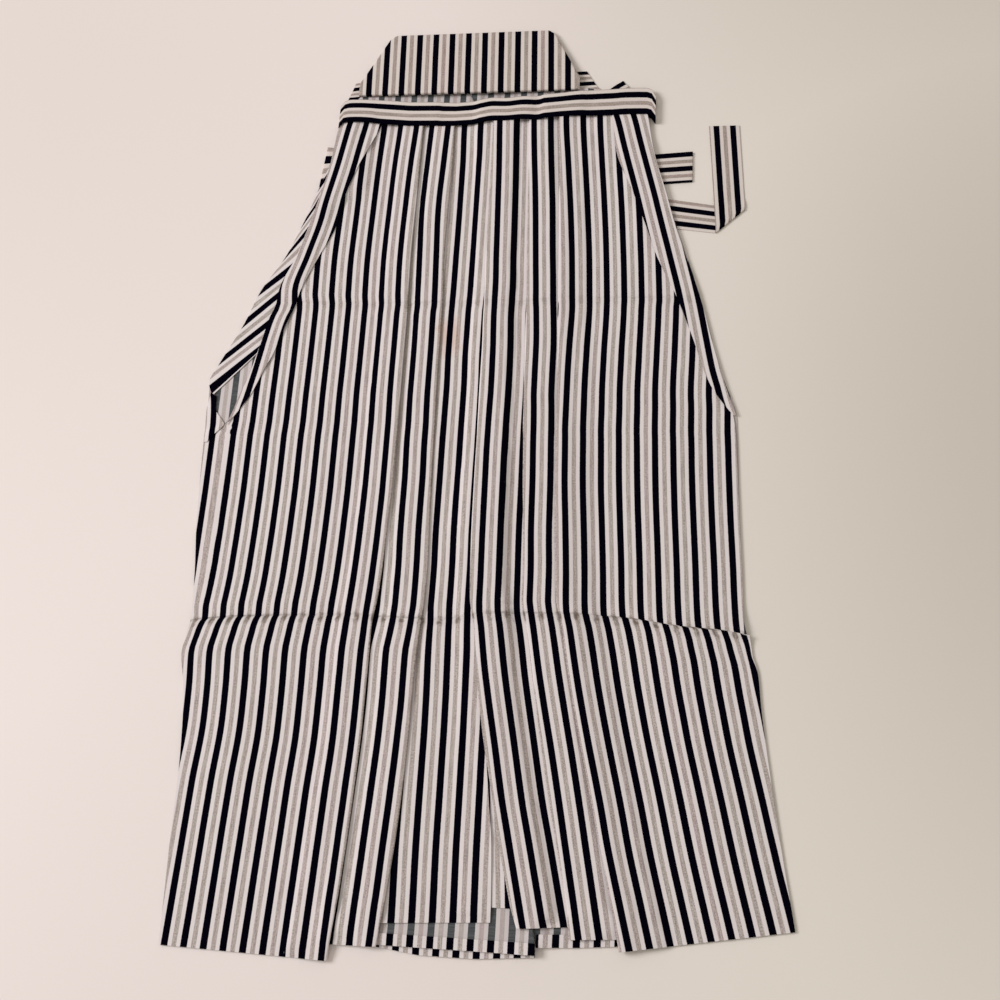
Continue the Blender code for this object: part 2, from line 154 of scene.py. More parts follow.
# The storage creases: how far each strays from its own line across the front, how high it stands, how far
# sideways the cloth below it has slipped, and how much of that slip is only reached a little lower.
Crease = namedtuple("Crease", "x stray height slip lag")
LOWER_CREASE_Y = -600.0
LOWER_CREASE = [
    Crease(-300, -11, 2.2, -2.5, 1),
    Crease(-288, -8, 2.6, -6, 1),
    Crease(-250, -4, 2.6, -6, 1),
    Crease(-200, -1, 2.2, -4, 1),
    Crease(-120, 2, 1.6, -1, 1),
    Crease(-60, 0, 1.3, 0, 1),
    Crease(-20, 0, 1.3, 0, 1),
    Crease(20, 7, 1.4, 0, 0.4),
    Crease(60, 9, 1.6, 0, 0.4),
    Crease(120, 9, 2.2, 0.5, 0.4),
    Crease(163, 7, 2.8, 3.5, 0.4),
    Crease(182, 5, 3.2, 6, 0.4),
    Crease(201, 1.5, 3.6, 7.5, 0.4),
    Crease(220, -0.5, 3.8, 9, 0.4),
    Crease(258, -3, 4.0, 10, 0.4),
    Crease(283, -7, 4.2, 10, 0.4),
    Crease(292, -11, 4.2, 4, 0.4),
]
UPPER_CREASE_Y = -238.0
UPPER_CREASE = [
    Crease(-240, 3, 0.5, 0, 1),
    Crease(-150, 0, 0.9, 0, 1),
    Crease(-90, -2, 1.0, 0, 1),
    Crease(-40, 0, 0.9, 0, 1),
    Crease(20, 0, 0.5, 0, 1),
    Crease(90, 4, 0.6, 0, 1),
    Crease(160, 5, 0.5, 0, 1),
    Crease(240, 5, 0.3, 0, 1),
]
CREASES = ((LOWER_CREASE, LOWER_CREASE_Y), (UPPER_CREASE, UPPER_CREASE_Y))
CREASE_ABOVE = 20.0  # the slope above a crease is long
CREASE_BELOW = 5.0  # and below it short
CREASE_STEP = 0.6  # share of its height that drops straight down at its line
SLIP_END = 25.0  # how far below a crease the slip dies out
SLIP_START = 5.0  # and the part that lags comes in
CREASE_BEND = 45.0  # how far from a crease its straying is felt

# Slow swells in the front, longer one way than across.
Swell = namedtuple("Swell", "x y turn length width height")
SWELLS = [
    Swell(-190, -450, 80, 150, 40, 1.2),
    Swell(-240, -760, 95, 120, 30, 1.4),
    Swell(-150, -820, 85, 90, 22, 0.9),
    Swell(200, -420, 100, 170, 45, 1.3),
    Swell(130, -330, 85, 110, 26, 0.8),
    Swell(240, -760, 105, 110, 35, 1.5),
    Swell(170, -840, 108, 80, 30, 0.5),
    Swell(-20, -700, 88, 130, 30, 0.3),
    Swell(40, -480, 94, 150, 30, 0.4),
]

# Edges of the two back panels, and the offset and repeat of their stripes.
Back = namedtuple("Back", "y right seam left")
BACK = [
    Back(40, -160, -38, 90),
    Back(24, -176, -30, 150),
    Back(-12, -184, -20, 173),
    Back(-60, -196.5, -10, 184),
    Back(-110, -209, -4, 198),
    Back(-140, -224, -2, 209),
    Back(-180, -239, 0, 222),
    Back(-223, -264, 0, 235),
    Back(-270, -282, 1, 247.5),
    Back(-317, -303, 1, 260),
    Back(-335, -311, 1, 265.5),
    Back(-372, -309.5, 2, 277.5),
    Back(-450, -306.5, 3, 280),
    Back(-520, -302.5, 5, 282),
    Back(-585, -296, 10, 284),
    Back(-640, -300, 22, 296.5),
    Back(-720, -290.5, 42, 305.5),
    Back(-800, -288, 62, 317),
    Back(-860, -288, 78, 327),
]
BACK_HEM_RIGHT = [(-286, -931), (-120, -932), (-108, -923), (-66, -925), (-25, -930), (30, -930), (89, -925)]
BACK_HEM_LEFT = [(89, -916), (125, -914), (168, -910), (330, -883)]
BACK_REPEAT = 19.8
BACK_DARK_RIGHT = (-142.0, -141.8)  # one dark stripe of the panel, at the waist and at the hem
BACK_DARK_LEFT = (109.0, 109.0)
RIGHT_TURN_DARK = -47.0
LEFT_TURN_DARK = 108.0

# Each row of the facing follows a stripe across it, so the stripe count is one number along a row.
Facing = namedtuple("Facing", "count fold_x fold_y raw_x raw_y")
SLIT_FACING = [
    Facing(-2, -190, -36, -180, -14),
    Facing(-1, -206, -88, -190, -60),
    Facing(0, -222, -135, -205, -103),
    Facing(1, -239, -179, -213, -140),
    Facing(2, -264, -222.5, -228, -191),
    Facing(3, -278.5, -262.5, -238, -223.5),
    Facing(4, -300.5, -309, -246, -259.5),
    Facing(4.68, -312, -335, -252.5, -282),
    Facing(5, -309, -345.5, -256, -294),
    Facing(5.25, -306, -352, -258, -299),
]
# How far the front's edge stripe is drawn outwards below the right slit. Above the last height it stays
# drawn.
SLIT_PULL = [(-600, 0), (-570, 2.6), (-540, 3.6), (-500, 4.4), (-450, 4.6), (-400, 4.4)]
PULL_EASE = (0.22, 0.78)  # within this part of the repeat beside it
CORNER_DARK = [(-349, -305), (-370, -302), (-388, -300.6), (-402, -300.2), (-445, -299.6)]
SLIT_CORNER = [
    (-307.5, -349, -301, -353),
    (-310.5, -369, -300, -368),
    (-309.5, -388, -288, -386.5),
    (-309, -397, -296, -397),
    (-308.8, -408, -305, -408),
]

Strip = namedtuple("Strip", "y outer inner dark")
SLIT_STRIP_RIGHT = [
    Strip(WAIST_Y, -184, -132, -174),
    Strip(-5, -191.3, -138, -177),
    Strip(-21, -191.7, -144, -179.5),
    Strip(-42, -193.7, -153, -183),
    Strip(-60, -195.7, -161, -186),
    Strip(-100, -203.7, -174, -194),
    Strip(-140, -214.2, -182, -202),
    Strip(-180, -225.2, -199, -212),
    Strip(-225, -241.2, -216, -222.3),
    Strip(-243, -242.7, -220, -221),
    Strip(-262, -249.7, -227, -227),
    Strip(-287, -254.7, -235, -232.4),
    Strip(-302, -258.7, -239.5, -235),
    Strip(-320, -263.2, -248, -238.5),
    Strip(-335, -267.2, -254, -241.7),
    Strip(-350, -273.2, -260, -244.6),
    Strip(-366, -277.7, -270, -248.5),
    Strip(-375, -280.2, -275.5, -250.5),
    Strip(-387, -285.7, -285.5, -254),
]
SLIT_STRIP_LEFT = [
    Strip(WAIST_Y, 172, 128, 153),
    Strip(-5, 176, 135, 160),
    Strip(-50, 183.5, 141, 171),
    Strip(-105, 198.5, 162, 185),
    Strip(-155, 212, 180, 197),
    Strip(-180, 220, 188, 203),
    Strip(-245, 239.5, 215, 217),
    Strip(-290, 251.5, 232.5, 226),
    Strip(-320, 260, 242.5, 232),
    Strip(-340, 266, 251, 237.5),
    Strip(-358, 272, 263, 242),
    Strip(-372, 277, 274, 247),
]

GUSSET = [
    ((-10, -440), (14, -440)),
    ((-38, -680), (51, -680)),
    ((-62, -890), (84, -890)),
    ((-66, -923), (89, -923)),
]
GUSSET_TURN = 11.0
GUSSET_DARK = -53.0
BACK_TURN = 12.0

Band = namedtuple("Band", "x low high")
WAIST_BAND = [
    Band(-190.5, -12, 17),
    Band(-189, -8, 20),
    Band(-186.5, -5.2, 24.5),
    Band(-183, -4.2, 27),
    Band(-176, -3.8, 27.3),
    Band(-164, -4.1, 27),
    Band(-152, -5.4, 26.1),
    Band(-128, -8, 24),
    Band(-104, -10.1, 21.4),
    Band(-68, -11.1, 20.4),
    Band(-50, -11.2, 19.3),
    Band(-32, -10.5, 20.3),
    Band(-20, -9.5, 21.2),
    Band(-8, -7.1, 23.7),
    Band(12, -7.4, 22.4),
    Band(28, -6.1, 24.4),
    Band(40, -6.6, 24.2),
    Band(52, -6.1, 25.4),
    Band(76, -4, 27.2),
    Band(88, -3.8, 28.6),
    Band(112, -3.4, 30.4),
    Band(136, -3.2, 31),
    Band(148, -2.5, 32),
    Band(165, -2.8, 31.8),
    Band(175, -3.2, 31.2),
    Band(180, -5, 29),
    Band(183, -8.5, 25.5),
    Band(184.8, -13, 19),
]
BAND_RETURN = 40.0
BAND_REACH = 18.0  # it is stiff, and bridges the pleats
BAND_STRIPES = (-0.15, 1.41)  # stripe count at its lower and upper edge

Board = namedtuple("Board", "y half")
BACK_BOARD = [
    Board(32, 132.5),
    Board(50, 132.5),
    Board(58, 128),
    Board(90, 112),
    Board(112, 101),
    Board(118, 93),
]
BOARD_X = -37.0
BOARD_THICK = 5.0
BOARD_LOW = 0.0
BOARD_HIGH = 4.4
BOARD_ROUND = 2.4
BOARD_DARK = -37.3  # at its waist edge
BOARD_LEAN = -0.045  # how far its stripes lean sideways for each millimetre up
BOARD_REPEAT = 19.95

# Each strap's ends and turns, upper edge first. Each stretch between two of them has the place of its
# first dark stripe, from that edge, and its stripe repeat.
TIES = (
    ("front_tie_tail",
     [((178, -107), (178, -144)), ((286.3, -126), (254.5, -154.5)), ((280, -17.5), (246, -17.5))],
     [(10.5, 17.5), (7.4, 18.9)]),
    ("front_tie_loop", [((165, -56), (165, -93.5)), ((228, -51), (228, -89.5)), ((165, -55), (165, -92.5))],
     [(2.8, 16.5), (2.8, 16.5)]),
    ("front_tie_bundle",
     [((-166, -46), (-166, -81)), ((-203, -34), (-208.5, -88)), ((-166, -40), (-166, -75))],
     [(11.0, 19.6), (11.0, 19.6)]),
    ("back_tie_left_end", [((113.6, 23), (133.8, -5)), ((146, 46.5), (166.2, 18.5))], [(3.2, 19.6)]),
    ("back_tie_left", [((30, 60), (30, 28)), ((103, 61), (120, 33))], [(2.4, 18.0)]),
    ("back_tie_right", [((-176.5, 54), (-184.5, 27)), ((-105, 64), (-105, 34))], [(10.8, 18.5)]),
)
TIE_WIDTH = 34.5

# Places across one repeat of the stripes, counted from the middle of the dark one.
DARK_HALF = 0.178
SPECKLED_FROM = 0.382
EDGE_SOFT = 0.012
EDGE_RAGGED = 0.03
EDGE_WANDER = 0.02
CREASE_SOIL_AND_SHADE = (0.115, 0.085, 0.060, 1.0)  # the creases' darkening: partly soiling, partly painted shade along and just below each crease
CREASE_MARKS = ((LOWER_CREASE_Y, 0.78), (UPPER_CREASE_Y, 0.24))  # and how strongly each shows it
STRIPE_DARK = (0.0011, 0.0009, 0.0032, 1.0)
STRIPE_PALE = (0.755, 0.705, 0.72, 1.0)
STRIPE_SPECKLED = (0.585, 0.54, 0.535, 1.0)
STRIPE_FLECKS = (0.285, 0.25, 0.245, 1.0)
# The board and the ties are of yellower cloth.
WAIST_PALE = (0.70, 0.64, 0.62, 1.0)
WAIST_SPECKLED = (0.50, 0.44, 0.42, 1.0)
WAIST_FLECKS = (0.25, 0.215, 0.20, 1.0)
TINTS = ((1.0, 0.87, 0.88, 1.0), (0.95, 0.95, 0.86, 1.0))
REVERSE_DARK = (0.062, 0.066, 0.070, 1.0)
REVERSE_PALE = (0.62, 0.58, 0.59, 1.0)
REVERSE_SPECKLED = (0.53, 0.48, 0.49, 1.0)
REVERSE_FLECKS = (0.42, 0.38, 0.385, 1.0)
STAIN_PLACE = (-38.0, -280.0, 6.0)
STAIN_SIZE = (15.0, 30.0, 30.0)
STAIN_COLOUR = (0.86, 0.56, 0.42, 1.0)
FLOOR_LIGHT = (0.82, 0.74, 0.725, 1.0)
FLOOR_PAINTED_WARM_LIGHT = (0.81, 0.752, 0.695, 1.0)  # painted warmer light, towards the wearer's left
# the colour that the painted shade on the floor darkens towards
FLOOR_SHADE_COLOUR = (0.40, 0.345, 0.285, 1.0)
# Soft patches of painted shade on the floor, in metres: x, y, half sizes and strength.
FLOOR_PAINTED_SHADES = [
    (0.62, 0.05, 0.55, 0.85, 0.42),
    (0.60, 0.85, 0.90, 0.80, 0.36),
    (-0.80, 0.50, 0.80, 1.10, 0.26),
]
FLOOR_DROP = 0.2

CAMERA_AIM = (29.7, -470.3, 4.0)
CAMERA_DISTANCE = 1306.2
CAMERA_AZIMUTH = 26.1  # from straight in front of the hem, towards the wearer's left
CAMERA_ELEVATION = 71.57
CAMERA_ROLL = 23.96
CAMERA_LENS = 44.17
CAMERA_SENSOR = 36.0
WORLD_COLOUR = (1.0, 0.955, 0.86, 1.0)
WORLD_STRENGTH = 0.47
FLOOR_HALF = 9.0  # metres, as are the places of the lights
Lamp = namedtuple("Lamp", "name place aim size power colour")
LAMPS = [
    Lamp("window", (-3.6, 0.5, 2.9), (0.0, -0.1, 0.0), 2.0, 150.0, (1.0, 0.99, 1.0)),
    Lamp("ceiling", (-0.3, 0.2, 2.6), (0.0, 0.0, 0.0), 2.0, 4.0, (1.0, 0.96, 0.92)),
]


def waist_origin():
    """The middle of the waist in the row frame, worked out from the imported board."""
    low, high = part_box("back_board")
    return np.array([(low.x + high.x) / 2 - BOARD_X * MM, high.y - BACK_BOARD[-1].y * MM, 0.0])


ORIGIN = waist_origin()


# ---- laying cloth ----


def smooth(at, x, y):
    """The curve through the points x, y, with x rising, that never swings past them."""
    x, y = np.asarray(x, float), np.asarray(y, float)
    step = np.diff(x)
    slope = np.diff(y) / step
    same_way = slope[:-1] * slope[1:] > 0
    total = np.where(same_way, slope[:-1] + slope[1:], 1.0)
    inner = np.where(same_way, 2 * slope[:-1] * slope[1:] / total, 0.0)
    tangent = np.concatenate([slope[:1], inner, slope[-1:]])
    i = np.clip(np.searchsorted(x, at) - 1, 0, len(step) - 1)
    t = (np.clip(at, x[0], x[-1]) - x[i]) / step[i]
    return (
        (2 * t**3 - 3 * t**2 + 1) * y[i]
        + (t**3 - 2 * t**2 + t) * step[i] * tangent[i]
        + (3 * t**2 - 2 * t**3) * y[i + 1]
        + (t**3 - t**2) * step[i] * tangent[i + 1]
    )


def column_of(table, name, y):
    """A column of a table whose rows run down the garment, read at other heights."""
    return smooth(-np.asarray(y, float), [-row.y for row in table], [getattr(row, name) for row in table])


def across_of(table, name, x):
    """A column of a table whose rows run across the garment, read at other places."""
    return np.interp(x, [row.x for row in table], [getattr(row, name) for row in table])


def bell(distance):
    return np.exp(-(distance**2))


def crease_line(table, line_y, x):
    return line_y + across_of(table, "stray", x)


def strayed(x, y):
    """Where points end up when the creases near them stray from their straight lines, and slip sideways."""
    moved_x, moved_y = np.array(x, float), np.array(y, float)
    for table, line_y in CREASES:
        moved_y += (crease_line(table, line_y, x) - line_y) * bell((y - line_y) / CREASE_BEND)
        beyond = crease_line(table, line_y, x) - moved_y
        slip, lag = (across_of(table, name, x) for name in ("slip", "lag"))
        share = np.exp(-beyond / SLIP_END) - lag * np.exp(-beyond / SLIP_START)
        moved_x += np.where(beyond > 0, slip * share, 0)
    return moved_x, moved_y


def relief(x, y):
    """How far the front stands up: along the storage creases, and in slow swells between them."""
    height = np.zeros_like(np.asarray(x, float))
    for table, line_y in CREASES:
        beyond = y - crease_line(table, line_y, x)
        width = np.where(beyond > 0, CREASE_ABOVE, CREASE_BELOW)
        share = np.where(beyond > 0, 1, 1 - CREASE_STEP)
        height += share * across_of(table, "height", x) * bell(beyond / width)
    for swell in SWELLS:
        away = np.radians(swell.turn)
        along = (x - swell.x) * np.cos(away) + (y - swell.y) * np.sin(away)
        across = (y - swell.y) * np.cos(away) - (x - swell.x) * np.sin(away)
        height += swell.height * bell(along / swell.length) * bell(across / swell.width)
    return height


class Pile:
    """The height of what already lies at each place, on a square grid."""

    LEFT, BOTTOM, RIGHT, TOP = -340.0, -970.0, 360.0, 150.0

    def __init__(self):
        columns = int((self.RIGHT - self.LEFT) / CELL)
        rows = int((self.TOP - self.BOTTOM) / CELL)
        self.height = np.zeros((columns, rows))

    def cell(self, x, y):
        column = np.clip((x - self.LEFT) / CELL, 0, self.height.shape[0] - 1.001)
        row = np.clip((y - self.BOTTOM) / CELL, 0, self.height.shape[1] - 1.001)
        return column, row

    def add(self, x, y, top):
        """Marks a laid grid of points, and the surface between them, with its upper height."""
        widest = max(np.abs(np.diff(v, axis=axis)).max() for v in (x, y) for axis in (0, 1))
        steps = np.linspace(0, 1, 2 + int(1.5 * widest / CELL))
        for s in steps:
            for t in steps:
                blend = [
                    (1 - s) * ((1 - t) * v[:-1, :-1] + t * v[:-1, 1:])
                    + s * ((1 - t) * v[1:, :-1] + t * v[1:, 1:])
                    for v in (x, y, top)
                ]
                column, row = self.cell(blend[0], blend[1])
                np.maximum.at(self.height, (np.rint(column).astype(int), np.rint(row).astype(int)), blend[2])

    def under(self, x, y, reach):
        """The height that a cloth at these points rests on: the highest place within reach, then softened."""
        wide = self.height
        for axis in (0, 1):
            for _ in range(round(reach / CELL)):
                wide = np.maximum(wide, np.maximum(np.roll(wide, 1, axis), np.roll(wide, -1, axis)))
        for axis in (0, 1):
            wide = (np.roll(wide, 1, axis) + wide + np.roll(wide, -1, axis)) / 3
        column, row = self.cell(x, y)
        i, j = column.astype(int), row.astype(int)
        return np.max([wide[i, j], wide[i + 1, j], wide[i, j + 1], wide[i + 1, j + 1]], axis=0)


class Layer:
    """One flat stretch of cloth between two edges. Edges are rows of x, y and the stripes' u, v."""

    def __init__(self, start, end, columns=None):
        start, end = np.asarray(start, float), np.asarray(end, float)
        if columns is None:
            widest = np.linalg.norm((end - start)[:, :2], axis=1).max()
            columns = max(3, math.ceil(widest / COLUMN_STEP) + 1)
        share = np.linspace(0, 1, columns)[:, None]
        self.grid = start[:, None] + (end - start)[:, None] * share
        self.z = None

    def lay(self, pile, raised=False, reach=REACH):
        x, y = self.grid[..., 0], self.grid[..., 1]
        if raised:
            x, y = strayed(x, y)
            self.grid[..., 0], self.grid[..., 1] = x, y
        below = pile.under(x, y, reach)
        self.z = np.where(below > 0, below + AIR, 0) + LAYER / 2
        pile.add(x, y, self.z + LAYER / 2)
        if raised:
            self.z = self.z + relief(x, y)
        return self


def turn(near, far, outward):
    """Points round a fold, from the end of one layer to the start of the next."""
    bulge = np.minimum(0.5 * np.abs(far[:, 2:3] - near[:, 2:3]), FOLD_BULGE)
    inset = outward * (bulge + CLOTH / 2)
    near[:, :2] -= inset
    far[:, :2] -= inset
    middle, half = (near + far) / 2, (far - near) / 2
    points = []
    for angle in np.linspace(0, math.pi, FOLD_STEPS + 2)[1:-1]:
        point = middle - math.cos(angle) * half
        point[:, :2] += math.sin(angle) * bulge * outward
        points.append(point)
    return np.stack(points, axis=1)


def folded(layers):
    """The middle surface of one cloth that runs through its layers in turn, folded over at each join."""
    sheets = [np.concatenate([layer.grid[..., :2], layer.z[..., None], layer.grid[..., 2:]], axis=2)
              for layer in layers]
    joined = [sheets[0]]
    for near, far in zip(sheets, sheets[1:]):
        outward = (near[:, -1] - near[:, -2])[:, :2]
        outward /= np.linalg.norm(outward, axis=1, keepdims=True)
        joined += [turn(near[:, -1], far[:, 0], outward), far]
    return np.concatenate(joined, axis=1)


def grid_normals(points):
    """The unit normal at each point of a grid, from the faces round it."""
    face = np.cross(points[1:, :-1] - points[:-1, 1:], points[1:, 1:] - points[:-1, :-1])
    face /= np.maximum(np.linalg.norm(face, axis=2, keepdims=True), 1e-9)
    total = np.zeros_like(points)
    for rows in (slice(None, -1), slice(1, None)):
        for columns in (slice(None, -1), slice(1, None)):
            total[rows, columns] += face
    return total / np.maximum(np.linalg.norm(total, axis=2, keepdims=True), 1e-9)


def wall_faces(rows, columns):
    """Faces of a wall between two grids of points, outer grid first: its two sides, then its rim."""
    index = np.arange(rows * columns).reshape(rows, columns)
    quads = np.stack([index[:-1, :-1], index[1:, :-1], index[1:, 1:], index[:-1, 1:]], axis=2).reshape(-1, 4)
    around = np.concatenate([index[0, :-1], index[:-1, -1], index[-1, :0:-1], index[:0:-1, 0]])
    following = np.roll(around, -1)
    far = rows * columns
    rim = np.stack([around, following, following + far, around + far], axis=1)
    return quads, quads[:, ::-1] + far, rim


def mesh_object(name, points, faces, coordinates, finishes, face_finish):
    """A piece in the row frame, with its stripe coordinates as a UV map."""
    mesh = bpy.data.meshes.new(name)
    mesh.from_pydata((points * MM + ORIGIN).tolist(), [], faces.tolist())
    layer = mesh.uv_layers.new(name=STRIPE_MAP)
    corner = np.empty(len(mesh.loops), np.int32)
    mesh.loops.foreach_get("vertex_index", corner)
    layer.uv.foreach_set("vector", coordinates[corner].astype(np.float32).ravel())
    for finish in finishes:
        mesh.materials.append(finish)
    mesh.polygons.foreach_set("material_index", face_finish.astype(np.int32))
    mesh.shade_smooth()
    mesh.set_sharp_from_angle(angle=math.radians(55))
    piece = bpy.data.objects.new(name, mesh)
    bpy.context.scene.collection.objects.link(piece)
    return piece


def shell(node, layers, finishes):
    """Makes the cloth that stands for a node. Its first finish faces up on its first layer."""
    sheet = folded(layers)
    middle = sheet[..., :3]
    normal = grid_normals(middle)
    if normal[:, 0, 2].mean() < 0:
        normal = -normal
        sheet, middle, normal = (grid[::-1] for grid in (sheet, middle, normal))
    points = np.concatenate([(middle + side * CLOTH / 2 * normal).reshape(-1, 3) for side in (1, -1)])
    points[:, 2] = np.maximum(points[:, 2], 0.0)
    parts = wall_faces(*sheet.shape[:2])
    coordinates = np.tile(sheet[..., 3:].reshape(-1, 2), (2, 1))
    face_finish = np.concatenate([np.full(len(part), number) for part, number in zip(parts, (0, 1, 0))])
    piece = mesh_object(node + "_cloth", points, np.concatenate(parts), coordinates, finishes, face_finish)
    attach(piece, "root")
    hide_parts(node)
    area = quad_area(middle) * MM**2
    width, length = flat_size(sheet, area)
    return piece


def quad_area(points):
    """The area of a grid of points."""
    across = np.cross(points[1:, 1:] - points[:-1, :-1], points[1:, :-1] - points[:-1, 1:])
    return 0.5 * np.linalg.norm(across, axis=2).sum()


def flat_size(sheet, area):
    """The rectangle a cloth was cut from: its widest place, and its longest column."""
    middle = sheet[..., :3] * MM
    length = np.linalg.norm(np.diff(middle, axis=0), axis=2).sum(axis=0).max()
    down = (middle[-1] - middle[0])[:-1]
    down /= np.linalg.norm(down, axis=1, keepdims=True)
    across = np.diff(middle, axis=1)
    square = across - (across * down).sum(axis=2, keepdims=True) * down
    width = np.linalg.norm(square, axis=2).sum(axis=1).max()
    return width, max(length, area / width)


# ---- the garment ----


def down_front():
    """Rows down the front, closer together at the storage creases."""
    y = [WAIST_Y]
    while y[-1] > LAST_STATION_Y:
        near = min(abs(y[-1] - UPPER_CREASE_Y), abs(y[-1] - LOWER_CREASE_Y)) < 1.2 * CREASE_ABOVE
        y.append(y[-1] - (CREASE_ROW_STEP if near else ROW_STEP))
    y[-1] = LAST_STATION_Y
    step = [line_y + side for line_y in (UPPER_CREASE_Y, LOWER_CREASE_Y) for side in (0.5, -0.5)]
    clear = [row for row in y if min(abs(row - edge) for edge in step) > 0.8]
    return np.array(sorted(clear + step, reverse=True))


def pleat_depth(y):
    return np.interp(y, [HEM_Y, WAIST_Y], [PLEAT_DEPTH_HEM, PLEAT_DEPTH_WAIST])


def front_edge(table, column, hem, under=0, aside=0):
    """One long edge of a front panel: a fold, or the hidden fold a pleat's depth under it."""
    y = down_front()
    x = column_of(table, column, y) + under * pleat_depth(y) + aside
    share = np.linspace(0, 1, HEM_ROWS + 1)[1:]
    hem_x, hem_y = HEM[hem]
    x = np.concatenate([x, x[-1] + (hem_x - x[-1]) * share])
    y = np.concatenate([y, y[-1] + (hem_y - y[-1]) * share])
    return np.stack([x, y], axis=1)


def folds(table, names, side_hem, under):
    """A half's panels from the side inwards, as half_front takes them, and the hidden fold under the last."""
    far = front_edge(table, "side", side_hem)
    panels = []
    for name in names:
        panels.append(("dark_" + name, front_edge(table, name, name), far))
        far = front_edge(table, name, name + "_under", under=under)
    return panels, far


def stripes_across(table, dark, edge):
    """The stripe count along an edge, from the panel's own dark stripe."""
    x, y = edge.T
    inside = np.maximum(y, LAST_STATION_Y)
    lean = (getattr(table[-1], dark) - getattr(table[-2], dark)) / (table[-1].y - table[-2].y)
    middle = column_of(table, dark, inside) + lean * (y - inside)
    return (x - middle) / column_of(table, "repeat", inside)


def half_front(table, panels):
    """One half of the front as stretches of one cloth, the centre one first. The panels run from the side
    inwards, each with its dark stripe, its edge nearer the centre and its edge nearer the side."""
    layers = []
    last = None
    for dark, near, far in panels:
        counts = [stripes_across(table, dark, edge) for edge in (near, far)]
        if last is not None:
            last_near, last_count = last
            expected = last_count - (far[:, 0] - last_near[:, 0]) / column_of(table, "repeat", far[:, 1])
            counts = [count + round((expected - counts[1]).mean()) for count in counts]
            layers.insert(0, Layer(with_count(far, counts[1]), with_count(last_near, last_count)))
        layers.insert(0, Layer(with_count(near, counts[0]), with_count(far, counts[1])))
        last = near, counts[0]
    return layers


def draw_to_slit(grid):
    """The front's edge is pulled at the right slit, so its outermost stripes are further apart."""
    y = grid[..., 1]
    pull = np.interp(y, *np.array(SLIT_PULL, float).T)
    edge_stripe = math.ceil(np.interp(-SLIT_PULL[-2][0], -y[:, -1], grid[:, -1, 2]))
    inside = np.interp(grid[..., 2] - edge_stripe, PULL_EASE, [1, 0])
    grid[..., 2] += pull * inside / column_of(FRONT_RIGHT, "repeat", y)


def with_count(edge, count):
    """An edge with its stripe coordinates: the count across, and the distance along."""
    return np.stack([edge[:, 0], edge[:, 1], count, edge[:, 1]], axis=1)


def fronts(pile, finishes):
    """Both halves of the front, each one cloth folded into pleats, the side on top."""
    panels, _ = folds(FRONT_RIGHT, ("first", "second", "centre"), "side_right", -1)
    right = half_front(FRONT_RIGHT, panels)
    draw_to_slit(right[-1].grid)
    panels, far = folds(FRONT_LEFT, ("outer", "middle", "inner"), "side_left", 1)
    centre = front_edge(FRONT_RIGHT, "centre", "centre_under", aside=UNDER_CENTRE_ASIDE)
    left = half_front(FRONT_LEFT, panels + [("dark_under", centre, far)])
    for layer in [left[0]] + right + left[1:]:
        layer.lay(pile, raised=True)
    shell("front_right_panel", right, finishes)
    shell("front_left_panel", left, finishes)


def down_back():
    """Rows down the back, above its hem."""
    return np.arange(BACK[0].y, BACK[-1].y, -ROW_STEP)


def hem_line(hem, x):
    hem = np.array(sorted(hem), float)
    return np.interp(x, hem[:, 0], hem[:, 1])


def back_panel(outer, seam, hem, dark):
    """A back panel from the waist down to its hem, which runs unevenly."""
    y = down_back()
    edges = [np.stack([column_of(BACK, name, y) + aside, y], axis=1) for name, aside in (outer, seam)]
    share = np.linspace(0, 1, HEM_ROWS + 1)[1:, None]
    edges = [np.concatenate([edge, edge[-1] + (np.array(end) - edge[-1]) * share])
             for edge, end in zip(edges, (hem[0], hem[-1]))]
    panel = Layer(*(with_count(edge, (edge[:, 0] - back_dark(edge[:, 1], dark)) / BACK_REPEAT)
                    for edge in edges))
    last = panel.grid[-HEM_ROWS:]
    last[..., 1] += (hem_line(hem, last[-1, :, 0]) - last[-1, :, 1]) * share
    last[..., 3] = last[..., 1]
    return panel


def back_dark(y, dark):
    return np.interp(y, [HEM_Y, WAIST_Y], dark[::-1])


def hem_turn(hem, low, high, depth, dark):
    """The hem allowance, turned up on to the panel: a strip along the hem."""
    x = np.linspace(low, high, max(3, round((high - low) / COLUMN_STEP)))
    y = hem_line(hem, x)
    count = (x - dark) / BACK_REPEAT
    rows = [np.stack([x, y + up, count, y + up], axis=1) for up in np.linspace(0, depth, 4)]
    return Layer(rows[0], rows[-1], len(rows))


def slit_facing():
    """The edge of the slit folded over on to the back, cut across the stripes."""
    place = np.linspace(0, len(SLIT_FACING) - 1, 46)
    columns = {name: smooth(place, range(len(SLIT_FACING)), [getattr(row, name) for row in SLIT_FACING])
               for name in Facing._fields}
    along = np.hypot(columns["raw_x"] - columns["fold_x"], columns["raw_y"] - columns["fold_y"])
    fold = np.stack([columns["fold_x"], columns["fold_y"], columns["count"], 0 * along], axis=1)
    raw = np.stack([columns["raw_x"], columns["raw_y"], columns["count"], along], axis=1)
    return Layer(fold, raw)


def gusset():
    """The wedge between the legs."""
    corners = np.array(GUSSET, float)
    y = np.append(np.arange(corners[0, 0, 1], corners[-1, 0, 1], -ROW_STEP), corners[-1, 0, 1])
    edges = []
    for side in (0, 1):
        x = np.interp(-y, -corners[:, side, 1], corners[:, side, 0])
        edges.append(np.stack([x, y, (x - GUSSET_DARK) / BACK_REPEAT, y], axis=1))
    return Layer(*edges)


